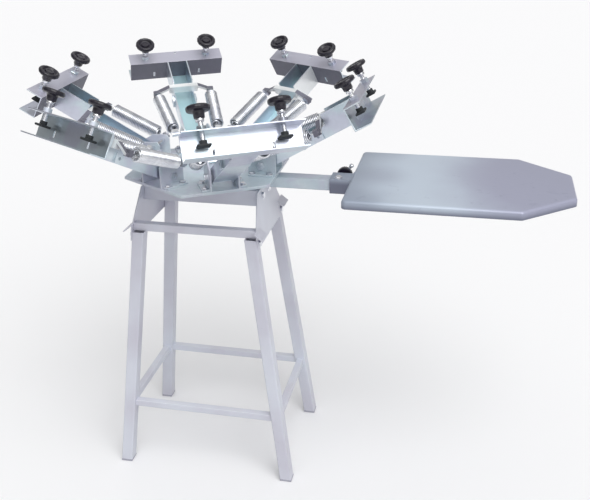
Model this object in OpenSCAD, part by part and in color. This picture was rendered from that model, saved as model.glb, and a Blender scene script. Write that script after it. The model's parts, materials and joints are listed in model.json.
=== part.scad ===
// Carousel screen printing press on a floor stand: six screen heads turn as one
// over a single pallet, and each head lifts on its own hinge, held up by two springs.
// Millimetres, +Z up. The origin is on the floor under the hub's axis, and +X points
// along the pallet. Head 1 stands over the pallet, the others follow every 60 degrees.

/* [Stand] */
// Height of the leg tops above the floor
leg_top_z = 664; // [600:1:740]
// Outside of the square leg tube
leg_tube = 30; // [26:1:34]
// Wall of the leg tube
leg_wall = 2; // [1.5:0.5:4]
// Half the distance between the feet, along the pallet
foot_half_x = 222; // [190:1:250]
// Half the distance between the feet, across the pallet
foot_half_y = 156; // [135:1:180]
// Half the distance between the leg tops, along the pallet
shoulder_half_x = 141; // [125:1:160]
// Half the distance between the leg tops, across the pallet
shoulder_half_y = 112; // [104:1:122]
// How far the stand sits back from the hub's axis, away from the pallet
stand_back = 8; // [0:1:16]
// Height of the middle of the lower rails
rail_z = 182; // [120:1:300]
// Outside of the square lower rail
rail_tube = 18; // [14:1:24]
// Outside of the square upper bar
bar_tube = 20; // [16:1:24]
// Wall of the rails and bars
rail_wall = 1.5; // [1:0.5:3]
// Thickness of the foot plugs under the legs
cap_t = 6; // [4:1:10]
// Height of the foot plugs, with the stub inside the leg
cap_h = 34; // [24:1:50]

/* [End plates and saddle] */
// Thickness of the sheet in the end plates
plate_t = 3; // [2:0.5:5]
// Height of an end plate above the leg tops
plate_h = 98; // [92:1:120]
// How far an end plate reaches down over the legs
plate_over_legs = 24; // [20:1:36]
// Half the depth of an end plate where it covers the legs
plate_half_low = 127; // [120:1:138]
// Half the depth of an end plate at its top
plate_half_top = 66; // [58:1:80]
// How far the bent ears stand out from an end plate's face, along the ear
plate_ear_len = 24; // [16:1:30]
// Length of an ear along the plate
plate_ear_w = 46; // [30:1:56]
// Half the depth of the saddle beam
saddle_half_y = 50; // [40:1:56]
// Height of the saddle beam's skirts
saddle_h = 40; // [30:1:46]
// Thickness of the saddle beam's sheet
saddle_t = 4; // [3:0.5:5]

/* [Station arm and pallet] */
// Width of the station arm's tube
station_w = 40; // [32:1:44]
// Height of the station arm's tube
station_h = 26; // [20:1:30]
// Wall of the station arm's tube
station_wall = 2.5; // [2:0.5:4]
// Where the station arm ends, from the hub's axis
station_end = 520; // [480:1:560]
// Where the pallet starts, from the hub's axis
pallet_start = 357; // [350:1:380]
// Length of the pallet's full-width part
pallet_straight = 387; // [300:1:420]
// Length of the pallet's narrowing end
pallet_taper = 118; // [80:1:160]
// Width of the pallet
pallet_w = 358; // [300:1:400]
// Width of the pallet at its far end
pallet_end_w = 154; // [100:1:220]
// Depth of the pallet's folded skirt
pallet_h = 20; // [16:1:24]
// Thickness of the pallet's sheet
pallet_t = 3; // [2:0.5:4]
// Radius of the pallet's corners
pallet_r = 12; // [6:1:20]
// How far the pallet's top stands above the station arm's top
pallet_rise = 12; // [8:1:16]
// Wall of the bracket that slides on the station arm
sleeve_wall = 5; // [4:0.5:6]
// Length of the bracket in front of the pallet
sleeve_len = 52; // [46:1:60]

/* [Carousel] */
// How far the six-sided carousel plate reaches past the hinge ears
hex_margin = 0.4; // [0.2:0.1:6]
// Thickness of the carousel plate
hex_t = 7; // [5:1:10]
// Gap between the station arm and the carousel plate
turn_gap = 4; // [3:0.5:6]
// Diameter of the spindle
spindle_d = 24; // [20:1:30]
// Diameter of the hub boss
hub_d = 62; // [54:1:72]
// Height of the hub boss
hub_h = 26; // [20:1:34]
// Running clearance, radial
run_gap = 0.05; // [0.02:0.01:0.08]

/* [Hinges] */
// Hinge line's distance from the hub's axis
hinge_r = 142; // [136:1:146]
// Hinge line's height above the carousel plate
hinge_up = 22; // [21:1:26]
// Diameter of the hinge bolt
hinge_d = 12; // [8:1:14]
// Thickness of a hinge ear
ear_t = 4; // [3:0.5:5]
// Gap between an arm and the ear beside it
ear_gap = 4; // [2:0.5:5]
// Height of the ears above the carousel plate
ear_h = 66; // [60:1:76]
// How far the ears reach out past the hinge line
ear_ahead = 36; // [34:1:44]
// How far the ears reach in behind the hinge line
ear_behind = 32; // [28:1:38]
// Width of the ears' bolted feet
ear_foot = 18; // [16:1:20]
// Diameter of the rod that anchors the springs
anchor_d = 10; // [8:1:12]
// How far the anchor rod lies inside the hinge line
anchor_in = 17; // [14:1:20]
// How far the anchor rod lies above the hinge line
anchor_up = 31; // [26:1:34]
// Diameter of the plain fasteners' shanks
bolt_d = 8; // [5:1:9]

/* [Heads] */
// Angle at which a head stands raised
lift = 30; // [20:1:34]
// Outside width of a head's arm
arm_w = 54; // [48:1:58]
// Thickness of the sheet in the arm and its clamp
sheet_t = 3; // [2:0.5:4]
// Length from the hinge line to the clamp
arm_len = 266; // [250:1:280]
// Length of a head's screen clamp
clamp_len = 252; // [230:1:280]
// Depth of the clamp's jaw
clamp_depth = 41; // [36:1:48]
// Height of the clamp channel
clamp_h = 56; // [52:1:64]
// How far the clamp reaches below the hinge line's level
clamp_below = 16; // [15:1:18]
// Where the yoke crosses the arm, from the hinge line
yoke_s = 172; // [160:1:180]
// Thickness of the yoke bar along the arm
yoke_t = 12; // [8:1:16]
// Height of the yoke bar
yoke_h = 20; // [16:1:24]
// Length of the yoke's straight middle
yoke_mid = 76; // [68:1:84]
// Half the distance between the two springs at the yoke
spring_half_out = 72; // [64:1:76]
// Half the distance between the two springs at the anchor rod
spring_half_in = 56; // [55:1:59]
// Outside diameter of a spring
spring_d = 36; // [30:1:38]
// Diameter of the spring's wire
wire_d = 5; // [3:0.5:6]
// Curls of a spring
spring_curls = 6; // [4:1:7]

/* [Clamp screws] */
// Half the distance between the two clamp screws
screw_half = 83; // [70:1:95]
// Diameter of a clamp screw
screw_d = 10; // [8:1:12]
// Jaw opening under a foot as drawn
jaw_open = 21; // [18:1:23]
// Thickness of a foot pad
pad_t = 5; // [4:0.5:7]
// Length of a foot pad
pad_len = 28; // [24:1:36]
// Width of a foot pad
pad_w = 22; // [20:1:28]
// Diameter of a knob
knob_d = 50; // [40:1:56]
// Thickness of a knob's rim
knob_t = 11; // [9:1:16]
// Height of a knob's boss
knob_boss = 14; // [10:1:18]
// Free length of screw between the weld nut and the knob
screw_free = 16; // [14:1:22]

/* [Hidden] */
$fn = 48;

paint = [0.72, 0.72, 0.80];
zinc = [0.78, 0.82, 0.85];
chrome = [0.86, 0.88, 0.90];
plastic = [0.10, 0.09, 0.12];
heads = 6;
sides = [-1, 1];
far = 1000;                      // longer than any part, for cutting tools
fit = 0.05;                      // clearance round a fastener
seat = 0.2;                      // gap at a face that slides or turns

// Stand
top_z = leg_top_z;
leg_dx = shoulder_half_x - foot_half_x;
leg_dy = shoulder_half_y - foot_half_y;
leg_len = norm([leg_dx, leg_dy, top_z]);
lean_y = -asin(leg_dy / leg_len);
lean_x = atan2(leg_dx, top_z);
along_leg = 1 / cos(lean_x);     // length along a leaning plate for 1 mm of height
plate_top_z = top_z + plate_h;
plate_low_z = top_z - plate_over_legs;
plate_waist_z = top_z + 8;
plate_ear_z = top_z + 17;
plate_ear_out = 10;              // how far an ear reaches past the plate's side
plate_ear_bend = 45;
saddle_bolt_y = saddle_half_y - 22;
bolt_head_h = 5;
bolt_head_d = bolt_d * 1.75;

// Heights above the stand
station_z = plate_top_z;
station_top = station_z + station_h;
hex_z = station_top + turn_gap;
hex_top = hex_z + hex_t;
hinge_z = hex_top + hinge_up;
pallet_top = station_top + pallet_rise;
spindle_nut_h = 12;
spindle_disc_t = 3;
spindle_top = hex_top + hub_h + seat + spindle_disc_t + spindle_nut_h + 3;

// Heads, in a frame with x along the arm from the hinge line and z square to it
ear_r0 = hinge_r - ear_behind;
ear_r1 = hinge_r + ear_ahead;
hex_r = (ear_r1 + hex_margin) / cos(30);
arm_half = arm_w / 2;
ear_in = arm_half + ear_gap;
ear_out = ear_in + ear_t;
clamp_top = clamp_h - clamp_below;
yoke_low = clamp_top - yoke_h - 6;
screw_s = arm_len + sheet_t + (clamp_depth - sheet_t) / 2;
jaw_floor = sheet_t - clamp_below;
pad_z = jaw_floor + jaw_open;
foot_boss_h = 8;
bolt_hold = 4;                   // how far a bolt's end shows inside
foot_boss_d = screw_d + 6;
spigot_d = screw_d - 2;
weld_nut_h = 10;
weld_nut_d = screw_d + 8;
knob_z = clamp_top + weld_nut_h + screw_free;
slot_half = screw_half - 21;     // half the distance between the slots in the clamp's web
slot_w = 5;
slot_h = 14;
slot_z = -6;
register_d = 6;                  // hole in the clamp's top flange
heel_s = 20;
heel_d = 10;
heel_z = heel_d / 2 - clamp_below;
jam_nut_h = 7;
nut_plate = 22;
nut_plate_t = 5;
nut_plate_s = yoke_s - 14;
nut_plate_z = -3;

// The spring runs from a lug on the anchor rod to a lug under the yoke's wing
anchor_at = [anchor_up * sin(lift) - anchor_in * cos(lift),
             anchor_up * cos(lift) + anchor_in * sin(lift)];
yoke_lug_z = yoke_low;
lug_t = 6;
lug_w = 16;
spring_from = [anchor_at[0], spring_half_in, anchor_at[1]];
spring_to = [yoke_s, spring_half_out, yoke_lug_z];
spring_run = spring_to - spring_from;
spring_axis = spring_run / norm(spring_run);
anchor_rod_half = spring_half_in + lug_w / 2;
spring_start = spring_from + spring_axis * (anchor_d / 2 + lug_t);
spring_end = spring_to - spring_axis * lug_t;
spring_len = norm(spring_end - spring_start);
spring_turn = [0, 90 - atan2(spring_axis[2], spring_axis[0]), atan2(spring_axis[1], spring_axis[0])];

// Frames and shared shapes

module foot_frame(ix, iy)
    translate([ix * foot_half_x - stand_back, iy * foot_half_y, 0])
    rotate([iy * lean_y, ix * lean_x, 0])
        children();

module end_frame(ix)
    translate([ix * foot_half_x - stand_back, 0, 0])
    rotate([0, ix * lean_x, 0])
        children();

module slab(z0, z1) translate([-far, -far, z0]) cube([2 * far, 2 * far, z1 - z0]);

module centred_box(size) translate([-size[0] / 2, -size[1] / 2, 0]) cube(size);

module tube_x(length, outside, wall) {
    rotate([0, 90, 0])
    difference() {
        translate([-outside / 2, -outside / 2, 0]) cube([outside, outside, length]);
        translate([wall - outside / 2, wall - outside / 2, -1])
            cube([outside - 2 * wall, outside - 2 * wall, length + 2]);
    }
}

module hex_prism(flat_d, h) cylinder(d = flat_d / cos(30), h = h, $fn = 6);

// A sheet standing in the X-Z plane, from y0 towards +Y
module sheet_xz(points, y0, t)
    translate([0, y0 + t, 0]) rotate([90, 0, 0]) linear_extrude(t) polygon(points);

module station_frame(k) rotate([0, 0, (k - 1) * 360 / heads]) children();

module head_frame(k)
    station_frame(k)
    translate([hinge_r, 0, hinge_z])
    rotate([0, -lift, 0])
        children();

// Stand

module leg_solid(ix, iy, grow, z0, z1)
    intersection() {
        foot_frame(ix, iy)
        translate([0, 0, -leg_tube])
            centred_box([leg_tube + grow, leg_tube + grow, leg_len + 2 * leg_tube]);
        slab(z0, z1);
    }

module leg(ix, iy)
    difference() {
        leg_solid(ix, iy, 0, cap_t, top_z);
        leg_solid(ix, iy, -2 * leg_wall, 0, top_z + 1);
        end_bolts(ix, iy, fit);
    }

module legs()
    color(paint)
    for (ix = sides) for (iy = sides) leg(ix, iy);

// Plugs that close the legs' lower ends, each with a stub inside its tube
module foot_caps()
    color(plastic)
    for (ix = sides) for (iy = sides) {
        leg_solid(ix, iy, 0, 0, cap_t);
        leg_solid(ix, iy, -2 * (leg_wall + fit), cap_t - 1, cap_h);
    }

module all_legs_solid() for (ix = sides) for (iy = sides) leg_solid(ix, iy, 0, cap_t, top_z);

function leg_x(z) = foot_half_x + leg_dx * z / top_z;
function leg_y(z) = foot_half_y + leg_dy * z / top_z;

module lower_rails()
    color(paint)
    difference() {
        union() {
            for (iy = sides)
                translate([-leg_x(rail_z) - stand_back, iy * leg_y(rail_z), rail_z])
                    tube_x(2 * leg_x(rail_z), rail_tube, rail_wall);
            for (ix = sides)
                translate([ix * leg_x(rail_z) - stand_back, -leg_y(rail_z), rail_z])
                rotate([0, 0, 90])
                    tube_x(2 * leg_y(rail_z), rail_tube, rail_wall);
        }
        all_legs_solid();
    }

bar_y = shoulder_half_y - 8;

// Everything outside the planes that the legs' outer faces lie in
module beyond_ends()
    for (ix = sides)
        end_frame(ix)
        translate([ix * (leg_tube / 2 + far / 2), 0, -far / 2])
            centred_box([far, far, 3 * far]);

module upper_bars()
    color(paint)
    difference() {
        for (iy = sides)
            translate([-far / 2, iy * bar_y, top_z + bar_tube / 2])
                tube_x(far, bar_tube, rail_wall);
        beyond_ends();
    }

// An end plate against the legs' outer faces, with an ear bent outwards at each corner
module end_plate(ix) {
    outline = [[-plate_half_low, plate_low_z], [plate_half_low, plate_low_z],
               [plate_half_low, plate_waist_z], [plate_half_top, plate_top_z],
               [-plate_half_top, plate_top_z], [-plate_half_low, plate_waist_z]];
    face = leg_tube / 2 + (ix > 0 ? 0 : plate_t);
    ear_mid = plate_half_low - plate_ear_w / 2 + plate_ear_out;
    color(paint)
    difference() {
        end_frame(ix) {
            translate([ix > 0 ? face : -face, 0, 0])
            rotate([90, 0, 90])
            linear_extrude(plate_t)
                polygon([for (p = outline) [p[0], p[1] * along_leg]]);
            for (iy = sides)
                translate([ix * leg_tube / 2, iy * ear_mid, plate_ear_z * along_leg])
                rotate([0, -ix * plate_ear_bend, 0])
                translate([ix > 0 ? 0 : -plate_t, -plate_ear_w / 2, -plate_ear_len])
                    cube([plate_t, plate_ear_w, plate_ear_len]);
        }
        for (iy = sides) end_bolts(ix, iy, fit);
        saddle_bolts(ix, fit);
        slab(plate_top_z, far);
    }
}

module end_plate_left() end_plate(-1);
module end_plate_right() end_plate(1);

// A bolt whose head lies outside an end plate, pointing inwards
module end_bolt(ix, length, grow)
    rotate([0, -ix * 90, 0]) {
        translate([0, 0, -grow]) cylinder(d = bolt_d + 2 * grow, h = length + 2 * grow);
        if (grow == 0) translate([0, 0, -bolt_head_h]) hex_prism(bolt_head_d, bolt_head_h);
    }

module end_bolts(ix, iy, grow)
    end_frame(ix)
    translate([ix * (leg_tube / 2 + plate_t), iy * leg_y(top_z), (top_z - plate_over_legs / 2) * along_leg])
        end_bolt(ix, plate_t + leg_wall + bolt_hold, grow);

module saddle_bolts(ix, grow)
    end_frame(ix)
    for (iy = sides)
        translate([ix * (leg_tube / 2 + plate_t), iy * saddle_bolt_y,
                   (plate_top_z - saddle_h / 2) * along_leg])
            end_bolt(ix, plate_t + saddle_t + bolt_hold, grow);

module stand_bolts()
    color(chrome)
    for (ix = sides) {
        for (iy = sides) end_bolts(ix, iy, 0);
        saddle_bolts(ix, 0);
    }

module saddle()
    color(paint)
    difference() {
        union() {
            difference() {
                translate([-far / 2, -saddle_half_y, plate_top_z - saddle_h])
                    cube([far, 2 * saddle_half_y, saddle_h]);
                translate([-far / 2 - 1, saddle_t - saddle_half_y, plate_top_z - saddle_h - 1])
                    cube([far + 2, 2 * (saddle_half_y - saddle_t), saddle_h + 1 - saddle_t]);
            }
            for (ix = sides)
                end_frame(ix)
                translate([ix * (leg_tube / 2 - saddle_t / 2), 0, (plate_top_z - saddle_h + 1) * along_leg])
                    centred_box([saddle_t, 2 * saddle_half_y - 1, (saddle_h - 2) * along_leg]);
        }
        beyond_ends();
        slab(plate_top_z, far);
        for (ix = sides) saddle_bolts(ix, fit);
        translate([0, 0, plate_top_z - saddle_h]) cylinder(d = spindle_d + 2 * fit, h = saddle_h + 1);
    }

// Station arm, spindle and the washer that the carousel turns on

arm_back = 60;

module station_arm()
    color(zinc)
    difference() {
        translate([-arm_back, -station_w / 2, station_z])
            cube([station_end + arm_back, station_w, station_h]);
        translate([-arm_back - 1, station_wall - station_w / 2, station_z + station_wall])
            cube([station_end + arm_back + 2, station_w - 2 * station_wall, station_h - 2 * station_wall]);
        translate([0, 0, station_z - 1]) cylinder(d = spindle_d + 2 * fit, h = station_h + 2);
    }

module spindle()
    color(chrome) {
        head_z = plate_top_z - saddle_t - spindle_nut_h;
        translate([0, 0, head_z]) hex_prism(spindle_d * 1.5, spindle_nut_h);
        translate([0, 0, head_z + 1]) cylinder(d = spindle_d, h = spindle_top - head_z - 1);
        translate([0, 0, hex_top + hub_h + seat]) cylinder(d = hub_d - 8, h = spindle_disc_t);
        translate([0, 0, hex_top + hub_h + seat + spindle_disc_t - 1])
            hex_prism(spindle_d * 1.5, spindle_nut_h);
    }

module thrust_washer()
    color(chrome)
    translate([0, 0, station_top])
    difference() {
        cylinder(d = station_w - 2, h = turn_gap - seat);
        translate([0, 0, -1]) cylinder(d = spindle_d + 2 * fit, h = turn_gap + 2);
    }

// Pallet

// Outline of the pallet drawn in by inset, with its corners rounded by arcs
function pallet_corners(inset) =
    let (x0 = pallet_start + inset, x1 = pallet_start + pallet_straight,
         x2 = x1 + pallet_taper - inset, w = pallet_w / 2 - inset,
         slope = (pallet_w - pallet_end_w) / 2 / pallet_taper,
         draw = inset * (sqrt(1 + slope * slope) - 1) / slope,
         e = pallet_end_w / 2 - inset * (sqrt(1 + slope * slope) - slope))
    [[x0, -w], [x1 - draw, -w], [x2, -e], [x2, e], [x1 - draw, w], [x0, w]];

function unit(v) = v / norm(v);

// Arc of radius r that rounds corner b between a and c
function rounded(a, b, c, r) =
    let (u = unit(a - b), v = unit(c - b), half = acos(u * v) / 2,
         centre = b + unit(u + v) * r / sin(half),
         from = b + u * r / tan(half) - centre, turn = 180 - 2 * half,
         start = atan2(from[1], from[0]))
    [for (i = [0 : 6]) centre + r * [cos(start + turn * i / 6), sin(start + turn * i / 6)]];

function round_outline(p, r) =
    let (n = len(p))
    [for (i = [0 : n - 1]) each rounded(p[(i + n - 1) % n], p[i], p[(i + 1) % n], r)];

module pallet_board()
    color(paint)
    difference() {
        translate([0, 0, pallet_top - pallet_h])
            linear_extrude(pallet_h) polygon(round_outline(pallet_corners(0), pallet_r));
        translate([0, 0, pallet_top - pallet_h - 1])
            linear_extrude(pallet_h + 1 - pallet_t)
            polygon(round_outline(pallet_corners(pallet_t), pallet_r - pallet_t));
        translate([pallet_start - 1, -station_w / 2 - sleeve_wall - 2, pallet_top - pallet_h - 1])
            cube([pallet_t + 3, station_w + 2 * sleeve_wall + 4, pallet_h - pallet_t + 1]);
    }

bracket_len = 170;
lock_x = pallet_start - sleeve_len / 2;
lock_z = station_z + station_h - 6;

// U channel round the station arm, closed over the top in front of the pallet and
// flanged against the pallet's underside behind it
module pallet_bracket() {
    inner_w = station_w + 2 * seat;
    outer_w = inner_w + 2 * sleeve_wall;
    low = station_z - seat - sleeve_wall;
    under = pallet_top - pallet_t;
    flange = 44;
    flange_t = 4;
    color(paint)
    difference() {
        union() {
            translate([pallet_start - sleeve_len, -outer_w / 2, low])
                cube([sleeve_len, outer_w, station_top + seat + sleeve_wall - low]);
            translate([pallet_start - 1, -outer_w / 2, low])
                cube([bracket_len, outer_w, under - low]);
            translate([pallet_start + pallet_t + 6, -outer_w / 2 - flange, under - flange_t])
                cube([bracket_len - pallet_t - 7, outer_w + 2 * flange, flange_t]);
        }
        translate([pallet_start - sleeve_len - 1, -inner_w / 2, station_z - seat])
            cube([sleeve_len + bracket_len + 2, inner_w, station_h + 2 * seat]);
        translate([lock_x, 0, lock_z])
            rotate([-90, 0, 0]) cylinder(d = bolt_d + 2 * run_gap, h = outer_w);
    }
}

// Screw with a bar through its head, which presses on the station arm from the side
module pallet_lock() {
    head_from = sleeve_wall + 11;
    head_len = 16;
    head_d = 38;
    bar_half = 28;
    bar_d = 7;
    bar_turn = 55;
    color(chrome)
    translate([lock_x, station_w / 2 + seat, lock_z])
    rotate([-90, 0, 0]) {
        cylinder(d = bolt_d, h = head_from + 2);
        translate([0, 0, head_from]) cylinder(d = head_d, h = head_len);
        translate([0, 0, head_from + head_len / 2]) rotate([0, 0, -bar_turn]) rotate([0, 90, 0]) {
            cylinder(d = bar_d, h = 2 * bar_half, center = true);
            for (i = sides) translate([0, 0, i * bar_half]) sphere(d = bar_d + 4);
        }
    }
}

// Carousel

bolt_r_in = hinge_r - 20;
bolt_r_out = hinge_r + 22;
bolt_t = ear_out + ear_foot / 2;

module bracket_bolt_places() for (k = [1 : heads]) station_frame(k)
    for (r = [bolt_r_in, bolt_r_out]) for (t = sides) translate([r, t * bolt_t, 0]) children();

module carousel_plate()
    color(zinc)
    difference() {
        union() {
            translate([0, 0, hex_z]) rotate([0, 0, 30]) cylinder(r = hex_r, h = hex_t, $fn = 6);
            translate([0, 0, hex_z + 1]) cylinder(d = hub_d, h = hex_t + hub_h - 1);
        }
        translate([0, 0, hex_z - 1]) cylinder(d = spindle_d + 2 * run_gap, h = hex_t + hub_h + 2);
        bracket_bolt_places() translate([0, 0, hex_z - 1]) cylinder(d = bolt_d + 2 * fit, h = hex_t + 2);
    }

ear_front = 16;                  // height of the cut corner at an ear's outer side
ear_front_run = 26;
ear_back = 10;                   // height of the cut corner at its inner side
ear_back_run = 6;

module ear(side) {
    y0 = side > 0 ? ear_in : -ear_out;
    outline = [[ear_r0, 0], [ear_r1, 0], [ear_r1, ear_h - ear_front], [ear_r1 - ear_front_run, ear_h],
               [ear_r0 + ear_back_run, ear_h], [ear_r0, ear_h - ear_back]];
    difference() {
        union() {
            translate([0, 0, hex_top]) sheet_xz(outline, y0, ear_t);
            translate([ear_r0 + 4, side > 0 ? ear_in : -ear_out - ear_foot, hex_top])
                cube([ear_r1 - ear_r0 - 8, ear_t + ear_foot, ear_t]);
        }
        translate([hinge_r, 0, hinge_z]) rotate([90, 0, 0])
            cylinder(d = hinge_d + 2 * fit, h = 4 * ear_out, center = true);
        translate([hinge_r - anchor_in, 0, hinge_z + anchor_up]) rotate([90, 0, 0])
            cylinder(d = anchor_d + 2 * fit, h = 4 * ear_out, center = true);
        for (r = [bolt_r_in, bolt_r_out])
            translate([r, side * bolt_t, hex_top - 1]) cylinder(d = bolt_d + 2 * fit, h = ear_t + 2);
    }
}

module hinge_brackets()
    color(zinc)
    for (k = [1 : heads]) station_frame(k)
        for (side = sides) ear(side);

module bracket_bolts()
    color(chrome)
    bracket_bolt_places() {
        translate([0, 0, hex_z + 1]) cylinder(d = bolt_d, h = hex_t + ear_t);
        translate([0, 0, hex_top + ear_t]) hex_prism(bolt_head_d - 2, bolt_head_h);
    }

// Hinge bolt with its head, nut and spacers, and the rod that the springs hook on
module hinge_pin() {
    head_h = 6;
    translate([hinge_r, 0, hinge_z]) {
        rotate([90, 0, 0]) cylinder(d = hinge_d, h = 2 * ear_out + 1, center = true);
        for (side = sides) {
            translate([0, side * (ear_out + head_h / 2), 0]) rotate([90, 0, 0])
                translate([0, 0, -head_h / 2]) hex_prism(hinge_d + 6, head_h);
            translate([0, side * (arm_half + ear_gap / 2), 0]) rotate([90, 0, 0])
            difference() {
                cylinder(d = hinge_d + 8, h = ear_gap - 2 * seat, center = true);
                cylinder(d = hinge_d - 0.2, h = ear_gap, center = true);
            }
        }
    }
}

// Block that a spring ends on, square to the spring's axis
module spring_block(h) translate([-lug_w / 2, -lug_w / 2, 0]) cube([lug_w, lug_w, h]);

module at_spring(point, side) {
    mirror_y = side > 0 ? 0 : 1;
    mirror([0, mirror_y, 0]) translate(point) rotate([0, 0, spring_turn[2]]) rotate([0, spring_turn[1], 0])
        children();
}

module hinge_pins()
    color(chrome)
    for (k = [1 : heads]) {
        station_frame(k) {
            hinge_pin();
            translate([hinge_r - anchor_in, 0, hinge_z + anchor_up]) rotate([90, 0, 0])
                cylinder(d = anchor_d, h = 2 * anchor_rod_half, center = true);
        }
        head_frame(k) for (side = sides)
            at_spring(spring_from + spring_axis * (anchor_d / 2 - 1), side)
                translate([0, 0, -3]) spring_block(lug_t + 4);
    }

// Heads

module arm_side(y0) {
    end_s = arm_len;
    step_s = yoke_s + yoke_t + 2;
    difference() {
        sheet_xz([[0, -clamp_below], [end_s, -clamp_below], [end_s, clamp_top],
                  [step_s, clamp_top], [step_s, yoke_low], [0, clamp_below]], y0, sheet_t);
        translate([0, y0 - 1, 0]) rotate([-90, 0, 0]) cylinder(d = hinge_d + 2 * run_gap, h = sheet_t + 2);
    }
    difference() {
        translate([0, y0, 0]) rotate([-90, 0, 0]) cylinder(r = clamp_below, h = sheet_t);
        translate([0, y0 - 1, 0]) rotate([-90, 0, 0]) cylinder(d = hinge_d + 2 * run_gap, h = sheet_t + 2);
    }
}

// Bar across the arm, with a wing that slopes down to each spring
module yoke() {
    drop = 22;
    wing_t = 6;
    wing = spring_half_out + lug_w / 2 - yoke_mid / 2;
    wing_lean = atan2(drop, wing);
    translate([yoke_s, -yoke_mid / 2, yoke_low]) cube([yoke_t, yoke_mid, yoke_h]);
    for (side = sides)
        mirror([0, side > 0 ? 0 : 1, 0])
        translate([yoke_s, yoke_mid / 2 - 2, yoke_low + yoke_h])
        rotate([-wing_lean, 0, 0])
        translate([0, 0, -wing_t])
            cube([yoke_t, norm([wing, drop]) + 2, wing_t]);
}

module arm(k)
    color(zinc)
    head_frame(k) {
        floor_s = heel_s + 8;
        for (y0 = [-arm_half, arm_half - sheet_t]) arm_side(y0);
        translate([floor_s, -arm_half + 1, -clamp_below])
            cube([arm_len - floor_s, arm_w - 2, sheet_t]);
        translate([heel_s, 0, heel_z]) rotate([90, 0, 0])
            cylinder(d = heel_d, h = arm_w - 2, center = true);
        yoke();
        for (side = sides) {
            translate([nut_plate_s, side * (arm_half + nut_plate_t / 2 - 0.5), nut_plate_z])
            rotate([90, 0, 0])
            difference() {
                cube([nut_plate, nut_plate, nut_plate_t + 1], center = true);
                cylinder(d = bolt_d, h = nut_plate_t + 3, center = true);
            }
            at_spring(spring_to, side) translate([0, 0, -lug_t]) spring_block(lug_t + yoke_t / 2);
        }
    }

module clamp(k)
    color(zinc)
    head_frame(k)
    difference() {
        translate([arm_len, 0, -clamp_below]) {
            translate([0, -clamp_len / 2, 0]) cube([sheet_t, clamp_len, clamp_h]);
            for (z = [0, clamp_h - sheet_t])
                translate([0, -clamp_len / 2, z]) cube([clamp_depth, clamp_len, sheet_t]);
            for (side = sides)
                translate([screw_s - arm_len, side * screw_half, clamp_h - 1])
                    hex_prism(weld_nut_d, weld_nut_h + 1);
        }
        for (side = sides) {
            translate([screw_s, side * screw_half, 0]) cylinder(d = screw_d + 2 * run_gap, h = far);
            translate([arm_len - 1, side * slot_half - slot_w / 2, slot_z])
                cube([sheet_t + 2, slot_w, slot_h]);
        }
        translate([screw_s + 12, 0, 0]) cylinder(d = register_d, h = far);
    }

// Foot under a clamp screw, with a blind seat that the screw's tip turns in
module foot(k, side)
    color(plastic)
    head_frame(k)
    translate([screw_s, side * screw_half, pad_z])
    difference() {
        union() {
            centred_box([pad_w, pad_len, pad_t]);
            cylinder(d = foot_boss_d, h = pad_t + foot_boss_h);
        }
        translate([0, 0, pad_t]) cylinder(d = spigot_d + 2 * run_gap, h = foot_boss_h + 1);
    }

module screw(k, side)
    head_frame(k)
    translate([screw_s, side * screw_half, 0]) {
        tip_z = pad_z + pad_t + seat;
        shoulder_z = pad_z + pad_t + foot_boss_h + seat;
        color(chrome) {
            translate([0, 0, tip_z]) cylinder(d = spigot_d, h = shoulder_z - tip_z + 1);
            translate([0, 0, shoulder_z]) cylinder(d = screw_d, h = knob_z - shoulder_z + 2);
            translate([0, 0, knob_z - jam_nut_h]) hex_prism(screw_d + 6, jam_nut_h);
        }
        color(plastic) translate([0, 0, knob_z]) knob();
    }

// Knob turned round its screw: a boss, a round-edged rim and a dish in the top
module knob() {
    r = knob_d / 2;
    boss_r = 11;
    edge = 4;
    dish = 5;
    top = knob_boss + knob_t;
    flat = knob_t / 2 - edge;
    rim = [for (a = [-60 : 30 : 60])
        [r - edge + edge * cos(a), knob_boss + knob_t / 2 + flat * sign(a) + edge * sin(a)]];
    rotate_extrude($fn = 64)
        polygon(concat(
            [[0, 0], [boss_r, 0], [boss_r + 1, knob_boss], [r - edge, knob_boss]],
            rim,
            [[r - edge, top], [r - 8, top], [r - 10, top - dish], [boss_r, top - dish],
             [boss_r - 1, top - 1], [0, top - 1]]));
}

// Springs: a tube swept along curls, with each end led in to the spring's axis

rings_per_curl = 8;
wire_sides = 6;
lead_turn = 0.5;                              // turns that lead in from the curls to the axis
straight_len = wire_d * 1.2;
coil_r = (spring_d - wire_d) / 2;
spring_turns = spring_curls + 2 * lead_turn;
ring_count = spring_turns * rings_per_curl;

function ease(x) = x < 0 ? 0 : x > 1 ? 1 : x * x * (3 - 2 * x);
function coil_radius(turn) =
    coil_r * ease(min(turn, spring_turns - turn) / lead_turn);
function coil_point(turn) =
    [coil_radius(turn) * cos(360 * turn), coil_radius(turn) * sin(360 * turn),
     straight_len + (spring_len - 2 * straight_len) * turn / spring_turns];
ring_turns = [for (i = [0 : ring_count]) i / rings_per_curl];
coil_path = concat([[0, 0, 0]], [for (turn = ring_turns) coil_point(turn)], [[0, 0, spring_len]]);
ring_turn = concat([0], ring_turns, [spring_turns]);
last = len(coil_path) - 1;

function path_dir(i) =
    i <= 1 || i >= last - 1 ? [0, 0, 1] : unit(coil_path[i + 1] - coil_path[i - 1]);
function ring_points(i) =
    let (d = path_dir(i), out = [cos(360 * ring_turn[i]), sin(360 * ring_turn[i]), 0],
         n1 = unit(out - (out * d) * d), n2 = cross(d, n1))
    [for (j = [0 : wire_sides - 1])
        coil_path[i] + wire_d / 2 * (cos(360 * j / wire_sides) * n1 + sin(360 * j / wire_sides) * n2)];

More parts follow.
